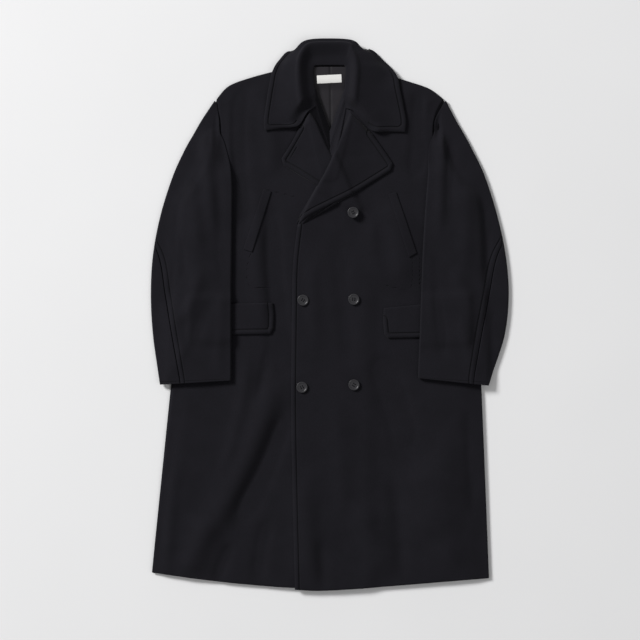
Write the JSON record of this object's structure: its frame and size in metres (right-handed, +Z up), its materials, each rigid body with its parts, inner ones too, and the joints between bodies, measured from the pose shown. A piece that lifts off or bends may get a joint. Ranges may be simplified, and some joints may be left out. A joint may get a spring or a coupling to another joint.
{
  "type": "double-breasted coat, laid flat",
  "caption": "Long double-breasted wool coat laid flat on its back, buttoned, with a wide notched collar and set-in sleeves.",
  "frame": {"origin": "middle of the coat's bounding box, on the surface that it lies on", "axes": "+X towards the wearer's left sleeve, +Y from hem to collar, +Z up from the surface"},
  "size_m": [0.7508, 1.156, 0.0294],
  "materials": {
    "melton": "brushed wool, matt",
    "lining": "satin",
    "label_tape": "woven tape, bare",
    "button": "polished horn look"
  },
  "bodies": {
    "root": {"back": "melton", "lining": "lining", "label": "label_tape", "front_right": "melton", "front_left": "melton", "lapel_right": "melton", "lapel_left": "melton", "collar": "melton", "top_sleeve_right": "melton", "under_sleeve_right": "melton", "top_sleeve_left": "melton", "under_sleeve_left": "melton", "chest_welt_right": "melton", "chest_welt_left": "melton", "flap_right": "melton", "flap_left": "melton", "button_1": "button", "button_2": "button", "button_3": "button", "button_4": "button", "button_5": "button"}
  },
  "joints": []
}
